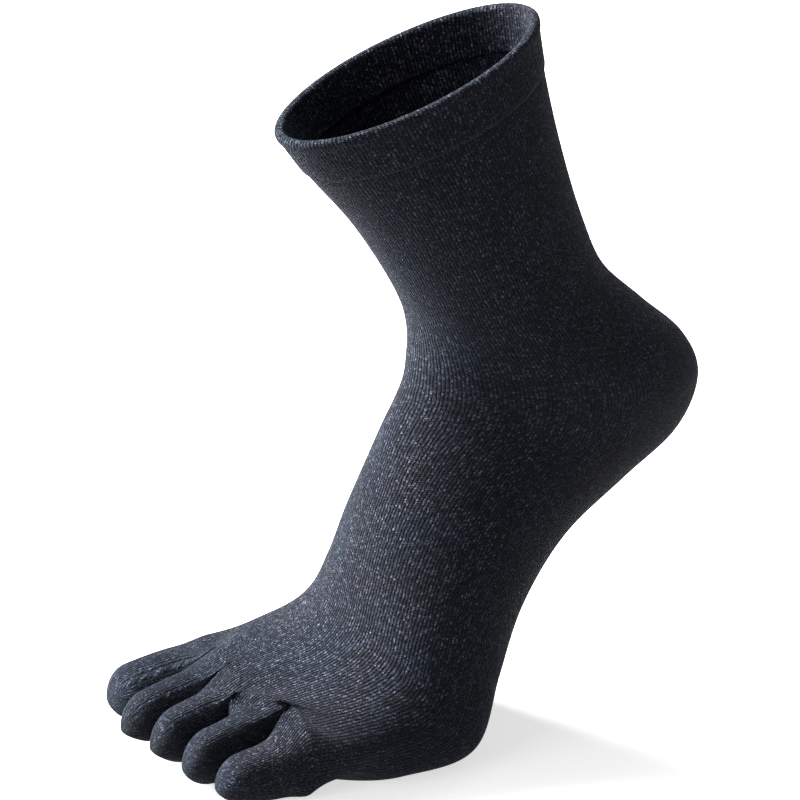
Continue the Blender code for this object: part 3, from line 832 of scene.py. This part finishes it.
def groove_shade(g, across, stitch):
    """Painted shade (1 - across ** GROOVE_SHADE_POWER x clearness) x painted stitch light, darker at the gore
    and under the welt's edge as a painted shadow.
    """
    marks = g.add("ShaderNodeSeparateXYZ", {0: g.add("ShaderNodeUVMap", uv_map="marks")}).node.outputs
    clear = g.math("ADD", GROOVE_SHADE_LEAST, g.math("MULTIPLY", marks[1], GROOVE_SHADE_MORE))
    groove = g.math("MULTIPLY", g.math("POWER", across, GROOVE_SHADE_POWER), clear)
    light = g.math("ADD", STITCH_PAINTED_SHADE, g.math("MULTIPLY", stitch, STITCH_PAINTED_LIGHT))
    groove = g.math("MULTIPLY", g.math("SUBTRACT", 1.0, groove), light)
    groove = g.math("MULTIPLY", groove, g.mapped(marks[0], 0.0, 1.0, GORE_DARK_AND_WELT_SHADOW, 1.0))
    return g.add("ShaderNodeCombineColor", {0: groove, 1: groove, 2: groove})


def jersey(name):
    """Height = rib x stitch + fuzz, colour = heather x painted groove shade and stitch light, both from the
    knit map.
    """
    g = Graph(name)
    wale, course, across, stitch = stitches(g)
    rib = g.math("SUBTRACT", 1.0, g.math("POWER", across, RIB_POWER))
    height = g.math("MULTIPLY", rib, g.math("ADD", RIB_BASE, g.math("MULTIPLY", stitch, RIB_STITCH)))
    height = g.math("ADD", height, g.math("MULTIPLY", noise(g, FUZZ_SCALE, 1.0), FUZZ))
    colour = g.tinted("MULTIPLY", 1.0, heather(g, wale, course), groove_shade(g, across, stitch))
    g.links.new(colour, g.shader.inputs["Base Color"])
    relief = {"Height": height, "Strength": BUMP_STRENGTH, "Distance": BUMP_DEPTH}
    g.links.new(g.add("ShaderNodeBump", relief), g.shader.inputs["Normal"])
    for socket, value in FINISH.items():
        g.shader.inputs[socket].default_value = value
    return g.material


knit_material = jersey("heather_jersey")
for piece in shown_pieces():
    piece.data.materials.clear()
    piece.data.materials.append(knit_material)
    print(piece.name, "is in", knit_material.name)

# %% [markdown]
# ## Floor, light and camera
#
# The floor is plain and pale, and glows a little so that the shadow on it stays faint. One broad light comes
# from the far side over the toes, so the instep and the toes are bright and the near side falls into shade.
# Two weak lights reach into the gaps between the toes and into the mouth. The camera looks a little down at
# the little toe's side.

# %% Floor
FLOOR_GAP = 0.0003
FLOOR_SIZE = 12.0
FLOOR_FINISH = {
    "Base Color": (0.86, 0.86, 0.87, 1.0),
    "Roughness": 0.9,
    "Emission Color": (1.0, 1.0, 1.0, 1.0),
    "Emission Strength": 0.65,
}
bpy.ops.mesh.primitive_plane_add(size=FLOOR_SIZE, location=(0, 0, -MOUTH_HEIGHT - FLOOR_GAP))
floor = bpy.context.object
floor.name = "floor"
pale = Graph("pale_floor")
for socket, value in FLOOR_FINISH.items():
    pale.shader.inputs[socket].default_value = value
floor.data.materials.append(pale.material)
floor.visible_diffuse = False
print("floor at", round(1000 * floor.location.z, 1), "mm")

# %% Light
WORLD_LIGHT = 0.17
AIM = Vector((0.0, -0.01, -0.12))
world = bpy.data.worlds.new("studio")
bpy.context.scene.world = world
world.use_nodes = True
background = world.node_tree.nodes["Background"]
background.inputs["Color"].default_value = (1.0, 1.0, 1.0, 1.0)
background.inputs["Strength"].default_value = WORLD_LIGHT


def soft_light(name, direction, distance, size, power):
    """A square light on a line from the sock, turned to face it."""
    data = bpy.data.lights.new(name, "AREA")
    data.size = size
    data.energy = power
    light = bpy.data.objects.new(name, data)
    way = Vector(direction).normalized()
    turned = way.to_track_quat("Z", "Y").to_matrix().to_4x4()
    light.matrix_world = Matrix.Translation(AIM + way * distance) @ turned
    bpy.context.scene.collection.objects.link(light)
    print(name, "gives", power, "W from", distance, "m")


soft_light("key", (-0.78, -0.70, 0.60), 1.6, 1.1, 160.0)
soft_light("toe_fill", (0.35, -1.0, 0.30), 1.6, 0.7, 9.5)
soft_light("mouth_fill", (-0.25, -0.15, 1.0), 1.4, 0.6, 6.5)

# %% Camera
BACK = Vector((0.8343, -0.4093, 0.3695)).normalized()
PLACE = Vector((0.77038, -0.37419, 0.23235))
ROLL = np.radians(2.975)
level_right = Vector((0, 0, 1)).cross(BACK).normalized()
level_up = BACK.cross(level_right)
right = level_right * np.cos(ROLL) + level_up * np.sin(ROLL)
up = BACK.cross(right)
lens = bpy.data.cameras.new("camera")
lens.lens = 129.6
lens.sensor_width = 36.0
lens.clip_start = 0.05
camera = bpy.data.objects.new("camera", lens)
camera.matrix_world = Matrix.Translation(PLACE) @ Matrix((right, up, BACK)).transposed().to_4x4()
bpy.context.scene.collection.objects.link(camera)
bpy.context.scene.camera = camera
bpy.context.scene.view_settings.view_transform = "Standard"
print("lens", lens.lens, "mm, camera at", [round(value, 3) for value in PLACE])
